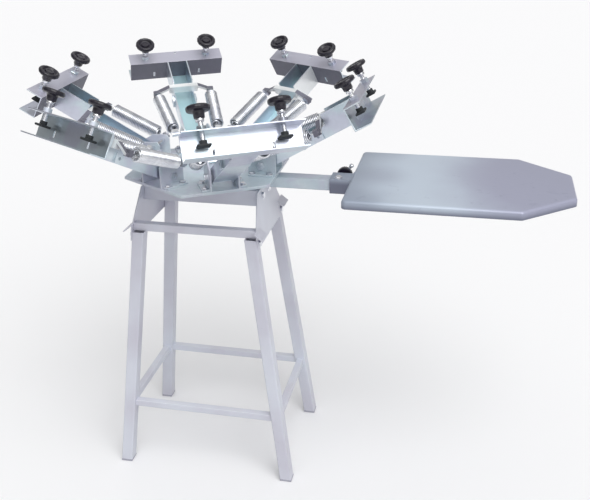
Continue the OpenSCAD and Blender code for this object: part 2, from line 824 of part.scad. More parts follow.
module spring_wire() {
    points = [for (i = [0 : last]) each ring_points(i)];
    faces = concat(
        [for (j = [1 : wire_sides - 2]) [0, j + 1, j]],
        [for (i = [0 : last - 1]) for (j = [0 : wire_sides - 1])
            let (a = i * wire_sides + j, b = i * wire_sides + (j + 1) % wire_sides)
            each [[a, b, b + wire_sides], [a, b + wire_sides, a + wire_sides]]],
        [for (j = [1 : wire_sides - 2]) let (c = last * wire_sides) [c, c + j, c + j + 1]]);
    polyhedron(points, [for (f = faces) [f[0], f[2], f[1]]]);
}

// Least gap between curls, measured on points of the path a half turn or more apart
self_gap = min([for (i = [0 : last]) for (j = [i + 5 : 1 : last])
    norm(coil_path[i] - coil_path[j])]) - wire_d;
echo(spring_gap_mm = self_gap);

module springs(k)
    color(chrome)
    head_frame(k)
    for (side = sides) at_spring(spring_start, side) spring_wire();

legs();
foot_caps();
lower_rails();
upper_bars();
end_plate_left();
end_plate_right();
saddle();
stand_bolts();
station_arm();
spindle();
thrust_washer();
pallet_board();
pallet_bracket();
pallet_lock();
carousel_plate();
hinge_brackets();
hinge_pins();
bracket_bolts();
for (k = [1 : heads]) {
    arm(k);
    clamp(k);
    springs(k);
    screw(k, -1);
    screw(k, 1);
    foot(k, -1);
    foot(k, 1);
}
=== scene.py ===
import json
import math

import bmesh
import bpy
from mathutils import Matrix, Vector


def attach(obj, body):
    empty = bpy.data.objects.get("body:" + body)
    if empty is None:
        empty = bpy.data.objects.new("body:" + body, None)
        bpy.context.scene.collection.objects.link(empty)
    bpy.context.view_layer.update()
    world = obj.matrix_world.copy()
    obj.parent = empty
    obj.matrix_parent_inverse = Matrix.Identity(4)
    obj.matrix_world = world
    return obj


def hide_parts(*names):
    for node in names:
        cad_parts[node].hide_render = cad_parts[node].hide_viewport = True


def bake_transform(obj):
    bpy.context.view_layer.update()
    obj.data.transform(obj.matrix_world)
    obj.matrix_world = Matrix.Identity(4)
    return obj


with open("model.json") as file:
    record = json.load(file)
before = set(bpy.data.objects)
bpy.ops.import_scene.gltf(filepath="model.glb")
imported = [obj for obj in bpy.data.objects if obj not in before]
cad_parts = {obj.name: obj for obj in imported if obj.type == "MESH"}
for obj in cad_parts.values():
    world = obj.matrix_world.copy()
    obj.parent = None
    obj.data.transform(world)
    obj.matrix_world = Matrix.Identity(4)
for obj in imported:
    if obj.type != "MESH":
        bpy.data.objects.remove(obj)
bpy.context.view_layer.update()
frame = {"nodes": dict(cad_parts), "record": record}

# Everything is in metres, in the frame of part.scad: the origin is on the floor
# under the hub, and +X runs out along the pallet.

# Values that several pieces share; each piece has its own beside its code

press = {
    "heads": 6,
    "lift": math.radians(30),
    "hingeRadius": 0.142,
    "hingeZ": 0.821,
    "earFootTopZ": 0.803,
    "screwS": 0.288,
    "screwT": 0.083,
}


def srgb(colour):
    linear = []
    for value in colour:
        c = value / 255
        linear.append(c / 12.92 if c <= 0.04045 else ((c + 0.055) / 1.055) ** 2.4)
    return (*linear, 1.0)


# Helpers for objects and meshes


def placeObject(name, data):
    made = bpy.data.objects.new(name, data)
    bpy.context.scene.collection.objects.link(made)
    return made


def meshFrom(bm, name):
    mesh = bpy.data.meshes.new(name)
    bm.to_mesh(mesh)
    bm.free()
    return mesh


def meshAfterModifiers(holder):
    graph = bpy.context.evaluated_depsgraph_get()
    graph.update()
    return bpy.data.meshes.new_from_object(holder.evaluated_get(graph))


# Node helpers


def addNode(tree, kind, inputs=None, **settings):
    made = tree.nodes.new(kind)
    for key, value in settings.items():
        setattr(made, key, value)
    for key, value in (inputs or {}).items():
        if isinstance(value, bpy.types.Node):
            value = value.outputs[0]
        if isinstance(value, bpy.types.NodeSocket):
            tree.links.new(value, made.inputs[key])
        else:
            made.inputs[key].default_value = value
    return made


def mathOf(tree, operation, a, b=0.0, clamp=False):
    return addNode(tree, "ShaderNodeMath", {0: a, 1: b}, operation=operation, use_clamp=clamp).outputs[0]


def rangeOf(tree, value, low, high, newLow=0.0, newHigh=1.0):
    inputs = {"Value": value, "From Min": low, "From Max": high, "To Min": newLow, "To Max": newHigh}
    return addNode(tree, "ShaderNodeMapRange", inputs, interpolation_type="SMOOTHSTEP").outputs[0]


def mixOf(tree, factor, a, b):
    return addNode(tree, "ShaderNodeMix", {0: factor, 6: a, 7: b}, data_type="RGBA").outputs[2]


def coverOf(tree, colour, mask, share, over):
    # Lays another colour over the first where the mask is, up to a share
    return mixOf(tree, mathOf(tree, "MULTIPLY", mask, share), colour, srgb(over))


def roughenOf(tree, rough, mask, amount):
    return mathOf(tree, "ADD", rough, mathOf(tree, "MULTIPLY", mask, amount))


def noiseOf(tree, vector, scale, detail=2.0, rough=0.5, distortion=0.0):
    inputs = {
        "Vector": vector, "Scale": scale, "Detail": detail, "Roughness": rough, "Distortion": distortion}
    return addNode(tree, "ShaderNodeTexNoise", inputs).outputs["Fac"]


def addSockets(tree, side, sockets):
    for label, value in sockets.items():
        kind = value if isinstance(value, str) else "Int" if isinstance(value, int) else "Float"
        socket = tree.interface.new_socket(label, in_out=side, socket_type="NodeSocket" + kind)
        if kind != value:
            socket.default_value = value


def newTree(name, treeType, inputs, outputs):
    # A socket is given by its default value, or by its kind where it has none
    tree = bpy.data.node_groups.new(name, treeType)
    addSockets(tree, "INPUT", inputs)
    addSockets(tree, "OUTPUT", outputs)
    return tree, tree.nodes.new("NodeGroupInput").outputs, tree.nodes.new("NodeGroupOutput").inputs


def newGroup(name, inputs, outputs):
    return newTree(name, "ShaderNodeTree", {"Vector": "Vector", **inputs}, dict.fromkeys(outputs, "Float"))


def makeGrainGroup():
    group, given, out = newGroup("surfaceGrain", {"Broad Scale": 6.0, "Fine Scale": 400.0}, ["Broad", "Fine"])
    broad = noiseOf(group, given["Vector"], given["Broad Scale"], detail=3.0)
    fine = noiseOf(group, given["Vector"], given["Fine Scale"], detail=2.0, rough=0.6)
    group.links.new(rangeOf(group, broad, 0.3, 0.7), out["Broad"])
    group.links.new(fine, out["Fine"])
    return group


def makeScuffGroup():
    # Broken patches where a finish is rubbed
    group, given, out = newGroup("scuffs", {"Scale": 30.0, "Threshold": 0.62}, ["Mask"])
    patch = noiseOf(group, given["Vector"], given["Scale"], detail=6.0, rough=0.7, distortion=0.6)
    broad = noiseOf(group, given["Vector"], 7.0, detail=2.0)
    both = mathOf(group, "ADD", patch, mathOf(group, "MULTIPLY", broad, 0.35))
    edge = mathOf(group, "ADD", given["Threshold"], 0.08)
    made = addNode(group, "ShaderNodeMapRange", {
        "Value": both, "From Min": given["Threshold"], "From Max": edge})
    group.links.new(made.outputs[0], out["Mask"])
    return group


def makeEdgeGroup():
    # Mask of the narrow strip along edges, where a finish wears first
    group, given, out = newGroup("edgeWear", {"Radius": 0.002}, ["Mask"])
    bevel = addNode(group, "ShaderNodeBevel", {"Radius": given["Radius"]}, samples=3)
    normal = addNode(group, "ShaderNodeNewGeometry").outputs["Normal"]
    turned = addNode(group, "ShaderNodeVectorMath", {0: bevel.outputs[0], 1: normal}, operation="DOT_PRODUCT")
    strip = rangeOf(group, turned.outputs["Value"], 0.995, 0.90)
    broken = rangeOf(group, noiseOf(group, given["Vector"], 90.0, detail=4.0, rough=0.65), 0.38, 0.62)
    group.links.new(mathOf(group, "MULTIPLY", strip, broken), out["Mask"])
    return group


def makeSpangleGroup():
    # The crystals of a zinc coat, each with its own tone
    group, given, out = newGroup("zincSpangle", {"Scale": 90.0}, ["Tone"])
    drift = addNode(group, "ShaderNodeTexNoise", {"Vector": given["Vector"], "Scale": 60.0, "Detail": 2.0})
    drift = addNode(group, "ShaderNodeVectorMath", {
        0: drift.outputs["Color"], "Scale": 0.006}, operation="SCALE")
    bent = addNode(group, "ShaderNodeVectorMath", {
        0: given["Vector"], 1: drift.outputs[0]}, operation="ADD")
    cells = addNode(group, "ShaderNodeTexVoronoi", {"Vector": bent.outputs[0], "Scale": given["Scale"]})
    tone = addNode(group, "ShaderNodeSeparateColor", {"Color": cells.outputs["Color"]})
    group.links.new(tone.outputs[0], out["Tone"])
    return group


def makeDustGroup():
    # Fine dust, only where a face looks up
    group, given, out = newGroup("dust", {"Amount": 0.3}, ["Mask"])
    normal = addNode(group, "ShaderNodeNewGeometry").outputs["Normal"]
    up = addNode(group, "ShaderNodeSeparateXYZ", {"Vector": normal}).outputs["Z"]
    facing = rangeOf(group, up, 0.3, 0.95)
    cloud = rangeOf(group, noiseOf(group, given["Vector"], 14.0, detail=5.0, rough=0.65), 0.35, 0.75)
    amount = mathOf(group, "MULTIPLY", facing, given["Amount"])
    group.links.new(mathOf(group, "MULTIPLY", cloud, amount), out["Mask"])
    return group


def makeBrushGroup():
    # Fine lines drawn along one direction, as rolling and turning leave them
    group, given, out = newGroup("drawnLines", {"Stretch": "Vector"}, ["Line"])
    stretched = addNode(group, "ShaderNodeVectorMath", {
        0: given["Vector"], 1: given["Stretch"]}, operation="MULTIPLY")
    group.links.new(noiseOf(group, stretched.outputs[0], 30.0, detail=4.0, rough=0.7), out["Line"])
    return group


groups = {
    "grain": makeGrainGroup(),
    "scuffs": makeScuffGroup(),
    "edge": makeEdgeGroup(),
    "spangle": makeSpangleGroup(),
    "dust": makeDustGroup(),
    "lines": makeBrushGroup(),
}


def useGroup(tree, name, inputs):
    return addNode(tree, "ShaderNodeGroup", inputs, node_tree=groups[name]).outputs


def grainOf(tree, vector, broad, fine):
    return useGroup(tree, "grain", {"Vector": vector, "Broad Scale": broad, "Fine Scale": fine})


def scuffOf(tree, vector, scale, threshold):
    return useGroup(tree, "scuffs", {"Vector": vector, "Scale": scale, "Threshold": threshold})["Mask"]


def edgeOf(tree, vector, radius):
    return useGroup(tree, "edge", {"Vector": vector, "Radius": radius})["Mask"]


def dustOf(tree, vector, amount):
    return useGroup(tree, "dust", {"Vector": vector, "Amount": amount})["Mask"]


def linesOf(tree, vector, stretch):
    return useGroup(tree, "lines", {"Vector": vector, "Stretch": stretch})["Line"]


def startMaterial(name, settings):
    material = bpy.data.materials.new(name)
    material.use_nodes = True
    tree = material.node_tree
    tree.nodes.clear()
    shader = addNode(tree, "ShaderNodeBsdfPrincipled", settings)
    output = addNode(tree, "ShaderNodeOutputMaterial", {"Surface": shader.outputs[0]})
    output.location = (400, 0)
    vector = addNode(tree, "ShaderNodeTexCoord").outputs["Object"]
    return material, tree, shader, vector


def finishMaterial(tree, shader, colour, roughness, height, strength, distance):
    tree.links.new(colour, shader.inputs["Base Color"])
    tree.links.new(roughness, shader.inputs["Roughness"])
    bump = addNode(tree, "ShaderNodeBump", {"Height": height, "Strength": strength, "Distance": distance})
    tree.links.new(bump.outputs[0], shader.inputs["Normal"])


# Materials; colours are sRGB values from 0 to 255

paint = {"pale": (226, 230, 240), "lilac": (212, 211, 223), "chip": (244, 245, 248), "scuff": (150, 148, 164),
         "dust": (214, 212, 210)}


def makeStandPaint():
    material, tree, shader, vector = startMaterial("standPaint", {
        "Metallic": 0.15, "Specular IOR Level": 0.5, "Coat Weight": 0.15, "Coat Roughness": 0.25})
    grain = grainOf(tree, vector, broad=5.0, fine=520.0)
    colour = mixOf(tree, grain["Broad"], srgb(paint["pale"]), srgb(paint["lilac"]))
    edge = edgeOf(tree, vector, radius=0.002)
    colour = coverOf(tree, colour, edge, share=0.6, over=paint["chip"])
    scuff = scuffOf(tree, vector, scale=38.0, threshold=0.86)
    colour = coverOf(tree, colour, scuff, share=0.35, over=paint["scuff"])
    dust = dustOf(tree, vector, amount=0.25)
    colour = mixOf(tree, dust, colour, srgb(paint["dust"]))
    rough = rangeOf(tree, grain["Fine"], 0.2, 0.8, newLow=0.34, newHigh=0.46)
    rough = roughenOf(tree, rough, dust, amount=0.3)
    finishMaterial(tree, shader, colour, rough, grain["Fine"], strength=0.12, distance=0.0004)
    return material


# start, middle and end make a painted reflection across the board; skirt is painted shade on the skirt
board = {"start": (160, 170, 187), "middle": (201, 213, 227), "end": (166, 168, 190),
         "scuff": (140, 144, 166), "skirt": (112, 116, 134), "line": (206, 212, 224), "edge": (222, 226, 238)}

palletSizes = {
    "start": 0.357,
    "straight": 0.387,
    "taper": 0.118,
    "width": 0.358,
    "endWidth": 0.154,
    "corner": 0.012,
    "topZ": 0.800,
    "skirt": 0.020,
    "sheet": 0.003,
    "edge": 0.0075,
    "edgeSteps": 8,
    "notchHalf": 0.027,
    "darkPatchAt": (0.42, 0.0, 0.80),
    "lip": 0.0006,
    "leastCorner": 0.002,
    # how far the notch's cutter passes the sheet's ends, its back and its top
    "cutPast": 0.01,
    "cutBehind": 0.001,
    "cutAbove": 0.0002,
}


def makePalletPaint():
    material, tree, shader, vector = startMaterial("palletPaint", {
        "Metallic": 0.25, "Specular IOR Level": 0.5, "Coat Weight": 0.1, "Coat Roughness": 0.3})
    grain = grainOf(tree, vector, broad=3.2, fine=600.0)
    # Painted reflection: the board brightens from its start to its middle and darkens again towards its end,
    # along X with a wavering border
    along = addNode(tree, "ShaderNodeSeparateXYZ", {"Vector": vector}).outputs["X"]
    wander = mathOf(tree, "SUBTRACT", grain["Broad"], 0.5)
    shift = mathOf(tree, "ADD", along, mathOf(tree, "MULTIPLY", wander, 0.10))
    colour = mixOf(tree, rangeOf(tree, shift, 0.34, 0.52), srgb(board["start"]), srgb(board["middle"]))
    colour = mixOf(tree, rangeOf(tree, shift, 0.54, 0.74), colour, srgb(board["end"]))
    scuff = scuffOf(tree, vector, scale=24.0, threshold=0.80)
    colour = coverOf(tree, colour, scuff, share=0.22, over=board["scuff"])
    # A darker patch in the scuff colour, fading out around one point of the board
    darkPatch = addNode(tree, "ShaderNodeVectorMath", {
        0: vector, 1: palletSizes["darkPatchAt"]}, operation="DISTANCE")
    darkPatch = rangeOf(tree, darkPatch.outputs["Value"], 0.09, 0.01)
    colour = coverOf(tree, colour, darkPatch, share=0.35, over=board["scuff"])
    lines = linesOf(tree, vector, stretch=(1.0, 14.0, 14.0))
    colour = coverOf(tree, colour, lines, share=0.10, over=board["line"])
    edge = edgeOf(tree, vector, radius=0.002)
    colour = coverOf(tree, colour, edge, share=0.5, over=board["edge"])
    # Painted shade: the skirt darkens towards its lower edge
    height = addNode(tree, "ShaderNodeSeparateXYZ", {"Vector": vector}).outputs["Z"]
    skirtLow = palletSizes["topZ"] - palletSizes["skirt"]
    low = rangeOf(tree, height, palletSizes["topZ"] - 0.004, skirtLow - 0.002)
    colour = mixOf(tree, low, colour, srgb(board["skirt"]))
    rough = rangeOf(tree, lines, 0.25, 0.75, newLow=0.30, newHigh=0.42)
    rough = roughenOf(tree, rough, scuff, amount=0.12)
    ripple = mathOf(tree, "ADD", grain["Fine"], mathOf(tree, "MULTIPLY", lines, 0.5))
    finishMaterial(tree, shader, colour, rough, ripple, strength=0.06, distance=0.0003)
    return material


# Zinc tones, edge and scuff colours, and the painted shade, painted highlight and painted reflection laid on
# chosen faces; the darkest serves both single crystals and painted shade
zincColours = {"pale": (228, 236, 241), "teal": (197, 212, 221), "lilac": (202, 202, 220),
               "darkTone": (104, 102, 116), "paintedFlangeShade": (190, 188, 203), "bright": (250, 252, 252),
               "paintedReflection": (186, 222, 228), "edge": (246, 248, 250), "scuff": (132, 136, 152)}


def makeZincPlate(name, metalShare, paintedLightKinds=()):
    # Each kind of painted shade, highlight or reflection lies on the faces whose attribute, the kind's name
    # with Side after it, is 1
    material, tree, shader, vector = startMaterial(name, {"Metallic": metalShare, "Specular IOR Level": 0.5})
    grain = grainOf(tree, vector, broad=7.0, fine=700.0)
    spangle = useGroup(tree, "spangle", {"Vector": vector, "Scale": 130.0})["Tone"]
    tint = rangeOf(tree, noiseOf(tree, vector, 11.0, detail=3.0, distortion=0.8), 0.42, 0.62)
    colour = mixOf(tree, grain["Broad"], srgb(zincColours["pale"]), srgb(zincColours["teal"]))
    colour = coverOf(tree, colour, tint, share=0.7, over=zincColours["lilac"])
    colour = coverOf(tree, colour, spangle, share=0.04, over=zincColours["darkTone"])
    rough = rangeOf(tree, spangle, 0.0, 1.0, newLow=0.28, newHigh=0.33)
    metal = metalShare
    # Painted shade, a painted highlight or a painted reflection over the zinc, on the faces that each kind's
    # attribute marks
    for kind in paintedLightKinds:
        side = addNode(tree, "ShaderNodeAttribute", attribute_name=kind + "Side").outputs["Fac"]
        colour = coverOf(tree, colour, side, share=0.9, over=zincColours[kind])
        metal = mathOf(tree, "SUBTRACT", metal, mathOf(tree, "MULTIPLY", side, 0.5), clamp=True)
        if kind == "darkTone":
            rough = roughenOf(tree, rough, side, amount=0.25)
    if paintedLightKinds:
        tree.links.new(metal, shader.inputs["Metallic"])
    edge = edgeOf(tree, vector, radius=0.0016)
    colour = coverOf(tree, colour, edge, share=0.7, over=zincColours["edge"])
    scuff = scuffOf(tree, vector, scale=40.0, threshold=0.94)
    colour = coverOf(tree, colour, scuff, share=0.25, over=zincColours["scuff"])
    rough = roughenOf(tree, rough, scuff, amount=0.15)
    finishMaterial(tree, shader, colour, rough, grain["Fine"], strength=0.02, distance=0.0001)
    return material


chromeColours = {"bright": (244, 245, 248), "darkTone": (206, 208, 216), "scuff": (120, 122, 130)}


def makeChrome():
    material, tree, shader, vector = startMaterial("polishedChrome", {"Metallic": 1.0})
    grain = grainOf(tree, vector, broad=40.0, fine=900.0)
    colour = mixOf(tree, grain["Broad"], srgb(chromeColours["bright"]), srgb(chromeColours["darkTone"]))
    scuff = scuffOf(tree, vector, scale=90.0, threshold=0.86)
    colour = coverOf(tree, colour, scuff, share=0.3, over=chromeColours["scuff"])
    rough = rangeOf(tree, grain["Fine"], 0.25, 0.75, newLow=0.12, newHigh=0.22)
    rough = roughenOf(tree, rough, scuff, amount=0.2)
    finishMaterial(tree, shader, colour, rough, grain["Fine"], strength=0.05, distance=0.0002)
    return material


wireColours = {"bright": (244, 246, 249), "darkTone": (216, 218, 226), "line": (150, 152, 162)}


def makeSpringWire():
    material, tree, shader, vector = startMaterial("springWire", {"Metallic": 1.0})
    grain = grainOf(tree, vector, broad=30.0, fine=800.0)
    colour = mixOf(tree, grain["Broad"], srgb(wireColours["bright"]), srgb(wireColours["darkTone"]))
    lines = linesOf(tree, vector, stretch=(18.0, 18.0, 18.0))
    colour = coverOf(tree, colour, lines, share=0.15, over=wireColours["line"])
    rough = rangeOf(tree, grain["Fine"], 0.25, 0.75, newLow=0.14, newHigh=0.24)
    finishMaterial(tree, shader, colour, rough, lines, strength=0.06, distance=0.0002)
    return material


plasticColours = {"black": (14, 9, 25), "worn": (36, 28, 54), "dust": (150, 148, 156)}


def makeKnobPlastic():
    material, tree, shader, vector = startMaterial(
        "knobPlastic", {"Specular IOR Level": 0.5, "Coat Weight": 0.3, "Coat Roughness": 0.12})
    grain = grainOf(tree, vector, broad=60.0, fine=1400.0)
    edge = edgeOf(tree, vector, radius=0.0015)
    broad = mathOf(tree, "MULTIPLY", grain["Broad"], 0.25)
    worn = mathOf(tree, "ADD", broad, mathOf(tree, "MULTIPLY", edge, 0.6), clamp=True)
    colour = mixOf(tree, worn, srgb(plasticColours["black"]), srgb(plasticColours["worn"]))
    dust = dustOf(tree, vector, amount=0.07)
    colour = mixOf(tree, dust, colour, srgb(plasticColours["dust"]))
    rough = rangeOf(tree, grain["Fine"], 0.2, 0.8, newLow=0.24, newHigh=0.38)
    finishMaterial(tree, shader, colour, rough, grain["Fine"], strength=0.08, distance=0.0002)
    return material


rubberColours = {"black": (46, 50, 52), "worn": (52, 54, 58), "dusty": (96, 100, 102)}


def makeRubber():
    material, tree, shader, vector = startMaterial("footRubber", {"Specular IOR Level": 0.35})
    grain = grainOf(tree, vector, broad=70.0, fine=1200.0)
    dust = dustOf(tree, vector, amount=0.5)
    worn = mathOf(tree, "MULTIPLY", grain["Broad"], 0.4)
    colour = mixOf(tree, worn, srgb(rubberColours["black"]), srgb(rubberColours["worn"]))
    colour = mixOf(tree, dust, colour, srgb(rubberColours["dusty"]))
    rough = rangeOf(tree, grain["Fine"], 0.2, 0.8, newLow=0.55, newHigh=0.75)
    finishMaterial(tree, shader, colour, rough, grain["Fine"], strength=0.35, distance=0.0003)
    return material


capColours = {"grey": (176, 176, 190), "pale": (190, 190, 202), "scuff": (132, 132, 146)}


def makeCapPlastic():
    material, tree, shader, vector = startMaterial("capPlastic", {"Specular IOR Level": 0.4})
    grain = grainOf(tree, vector, broad=40.0, fine=900.0)
    scuff = scuffOf(tree, vector, scale=60.0, threshold=0.74)
    worn = mathOf(tree, "MULTIPLY", grain["Broad"], 0.3)
    colour = mixOf(tree, worn, srgb(capColours["grey"]), srgb(capColours["pale"]))
    colour = coverOf(tree, colour, scuff, share=0.5, over=capColours["scuff"])
    rough = rangeOf(tree, grain["Fine"], 0.2, 0.8, newLow=0.45, newHigh=0.62)
    finishMaterial(tree, shader, colour, rough, grain["Fine"], strength=0.2, distance=0.0003)
    return material


materials = {
    "stand_paint": makeStandPaint(),
    "pallet_paint": makePalletPaint(),
    # zinc with painted shade, a painted highlight and a painted reflection on chosen faces of the clamps and
    # arms
    "zinc": makeZincPlate("zincPlate", 0.88, ("darkTone", "paintedFlangeShade", "bright", "paintedReflection")),
    "chrome": makeChrome(),
    "spring_steel": makeSpringWire(),
    "knob_plastic": makeKnobPlastic(),
    "foot_rubber": makeRubber(),
    "cap_plastic": makeCapPlastic(),
}
hubZinc = makeZincPlate("hubZincPlate", 0.08)
print("materials made:", len(materials) + 1)

slotOf = {part["node"]: part["material_slot"] for part in frame["record"]["subparts"]}
bodyOf = {node: body for body, nodes in frame["record"]["behaviour"]["bodies"].items() for node in nodes}

# Mesh helpers


def newPiece(name, mesh, slotName, body=None, replaced=()):
    piece = placeObject(name, mesh)
    mesh.materials.clear()
    mesh.materials.append(materials[slotName])
    if replaced:
        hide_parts(*replaced)
    if body:
        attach(piece, body)
    return piece


# The angle in degrees up to which a mesh is shaded smooth
smooth = {"plain": 38, "bolt": 20, "pallet": 32, "lock": 40, "screw": 50}


def shadeByAngle(mesh, degrees=smooth["plain"]):
    for polygon in mesh.polygons:
        polygon.use_smooth = True
    mesh.set_sharp_from_angle(angle=math.radians(degrees))


def headMatrix(k):
    turn = Matrix.Rotation(math.radians(60 * (k - 1)), 4, "Z")
    hinge = Matrix.Translation((press["hingeRadius"], 0, press["hingeZ"]))
    return turn @ hinge @ Matrix.Rotation(-press["lift"], 4, "Y")


def latheMesh(name, profile, segments, place, wave=0.0, waves=1):
    # Turns (radius, height) points about the Z axis; wave presses shallow grips into the widest part
    bm = bmesh.new()
    widest = max(radius for radius, height in profile)
    gripStart = 0.8
    rings = []
    for radius, height in profile:
        if radius == 0:
            rings.append([bm.verts.new((0, 0, height))])
            continue
        share = max(0.0, radius / widest - gripStart) / 0.2
        ring = []
        for i in range(segments):
            angle = 2 * math.pi * i / segments
            r = radius + wave * share * (math.cos(waves * angle) - 1)
            ring.append(bm.verts.new((r * math.cos(angle), r * math.sin(angle), height)))
        rings.append(ring)
    for low, high in zip(rings, rings[1:]):
        for i in range(segments):
            j = (i + 1) % segments
            corners = [low[i % len(low)], low[j % len(low)], high[j % len(high)], high[i % len(high)]]
            bm.faces.new(list(dict.fromkeys(corners)))
    if len(rings[0]) > 1:
        bm.faces.new(list(reversed(rings[0])))
    if len(rings[-1]) > 1:
        bm.faces.new(rings[-1])
    bmesh.ops.recalc_face_normals(bm, faces=bm.faces)
    bm.transform(place)
    mesh = meshFrom(bm, name)
    shadeByAngle(mesh)
    return mesh


def joinMeshes(name, placed):
    # Adds copies of meshes, each under its own matrix, into one mesh
    bm = bmesh.new()
    for mesh, place in placed:
        before = len(bm.verts)
        bm.from_mesh(mesh)
        bm.verts.ensure_lookup_table()
        bmesh.ops.transform(bm, matrix=place, verts=bm.verts[before:])
        if place.determinant() < 0:
            fresh = set(bm.verts[before:])
            bmesh.ops.reverse_faces(bm, faces=[face for face in bm.faces if face.verts[0] in fresh])
    return meshFrom(bm, name)


def markSides(mesh, place, sides):
    # Writes one attribute for each kind of side; its rule reads a face's place in the head's own frame
    back = place.inverted()
    turn = back.to_3x3()
    for name, rule in sides.items():
        attribute = mesh.attributes.new(name, "FLOAT", "FACE")
        for i, polygon in enumerate(mesh.polygons):
            attribute.data[i].value = 1.0 if rule(back @ polygon.center, turn @ polygon.normal) else 0.0


softRules = {"join": 1e-5, "flatDegrees": 0.8, "sharpDegrees": 28, "segments": 3}


def softEdges(node, width, shortest, place=None, sides=None):
    # A copy of a CAD node with rounded outer edges
    mesh = frame["nodes"][node].data.copy()
    bm = bmesh.new()
    bm.from_mesh(mesh)
    bmesh.ops.remove_doubles(bm, verts=bm.verts, dist=softRules["join"])
    flatAngle = math.radians(softRules["flatDegrees"])
    bmesh.ops.dissolve_limit(bm, angle_limit=flatAngle, verts=bm.verts, edges=bm.edges)
    bmesh.ops.recalc_face_normals(bm, faces=bm.faces)
    chosen = []
    for edge in bm.edges:
        if len(edge.link_faces) != 2 or edge.calc_length() < shortest:
            continue
        if edge.is_convex and edge.calc_face_angle() > math.radians(softRules["sharpDegrees"]):
            chosen.append(edge)
    bmesh.ops.bevel(bm, geom=chosen, offset=width, offset_type="OFFSET", segments=softRules["segments"],
                    profile=0.5, affect="EDGES", clamp_overlap=True)
    bm.to_mesh(mesh)
    bm.free()
    mesh.validate()
    shadeByAngle(mesh)
    if sides:
        markSides(mesh, place, sides)
    piece = newPiece("soft_" + node, mesh, slotOf[node], bodyOf[node], [node])
    piece.modifiers.new("weighted", "WEIGHTED_NORMAL").keep_sharp = True
    return piece


# Geometry Nodes helpers


def closeTree(tree, given, geometry, out):
    real = addNode(tree, "GeometryNodeRealizeInstances", {0: geometry})
    painted = addNode(tree, "GeometryNodeSetMaterial", {"Geometry": real, "Material": given["Material"]})
    tree.links.new(painted.outputs[0], out[0])
    return tree


def joinTree(tree, made):
    both = tree.nodes.new("GeometryNodeJoinGeometry")
    for node in made:
        tree.links.new(node.outputs[0], both.inputs[0])
    return both


def growMesh(name, tree, values, start=None):
    # Runs a tree on a start mesh and returns what it makes as a plain mesh
    holder = placeObject(name + "_holder", start or bpy.data.meshes.new(name + "_start"))
    modifier = holder.modifiers.new("grow", "NODES")
    modifier.node_group = tree
    for item in tree.interface.items_tree:
        if item.item_type == "SOCKET" and item.in_out == "INPUT" and item.name in values:
            modifier[item.identifier] = values[item.name]
    mesh = meshAfterModifiers(holder)
    mesh.name = name
    bpy.data.objects.remove(holder)
    return mesh


def fieldRange(tree, value, low, high, newLow, newHigh, soft=False):
    inputs = {"Value": value, "From Min": low, "From Max": high, "To Min": newLow, "To Max": newHigh}
    kind = "SMOOTHSTEP" if soft else "LINEAR"
    return addNode(tree, "ShaderNodeMapRange", inputs, interpolation_type=kind).outputs[0]


def makeSpringTree():
    # A close-wound coil along +Z, with a straight end in its axis at each end
    tree, given, out = newTree("coilSpring", "GeometryNodeTree", {
        "Geometry": "Geometry", "Length": 0.15, "Radius": 0.015, "Wire Radius": 0.0017, "Turns": 33.0,
        "Points": 600, "Plug": 0.012, "Wire Sides": 6, "Material": "Material"}, {"Geometry": "Geometry"})
    endShare = 0.02
    line = addNode(tree, "GeometryNodeCurvePrimitiveLine")
    points = addNode(tree, "GeometryNodeResampleCurve", {"Curve": line, "Count": given["Points"]})
    share = addNode(tree, "GeometryNodeSplineParameter").outputs["Factor"]
    coilShare = fieldRange(tree, share, endShare, 1 - endShare, 0.0, 1.0)
    body = mathOf(tree, "SUBTRACT", given["Length"], mathOf(tree, "MULTIPLY", given["Plug"], 2.0))
    low = mathOf(tree, "MULTIPLY", fieldRange(tree, share, 0.0, endShare, 0.0, 1.0), given["Plug"])
    high = mathOf(tree, "MULTIPLY", fieldRange(tree, share, 1 - endShare, 1.0, 0.0, 1.0), given["Plug"])
    middle = mathOf(tree, "MULTIPLY", coilShare, body)
    z = mathOf(tree, "ADD", mathOf(tree, "ADD", low, middle), high)
    nearEnd = mathOf(tree, "MINIMUM", share, mathOf(tree, "SUBTRACT", 1.0, share))
    lead = mathOf(tree, "ADD", endShare, mathOf(tree, "DIVIDE", 0.8, given["Turns"]))
    opened = fieldRange(tree, nearEnd, endShare, lead, 0.0, 1.0, soft=True)
    radius = mathOf(tree, "MULTIPLY", opened, given["Radius"])
    angle = mathOf(tree, "MULTIPLY", mathOf(tree, "MULTIPLY", coilShare, given["Turns"]), 2 * math.pi)
    x = mathOf(tree, "MULTIPLY", mathOf(tree, "COSINE", angle), radius)
    y = mathOf(tree, "MULTIPLY", mathOf(tree, "SINE", angle), radius)
    place = addNode(tree, "ShaderNodeCombineXYZ", {"X": x, "Y": y, "Z": z})
    wound = addNode(tree, "GeometryNodeSetPosition", {"Geometry": points, "Position": place})
    ring = addNode(tree, "GeometryNodeCurvePrimitiveCircle", {
        "Resolution": given["Wire Sides"], "Radius": given["Wire Radius"]})
    wire = addNode(tree, "GeometryNodeCurveToMesh", {
        "Curve": wound, "Profile Curve": ring, "Fill Caps": True})
    return closeTree(tree, given, wire, out)


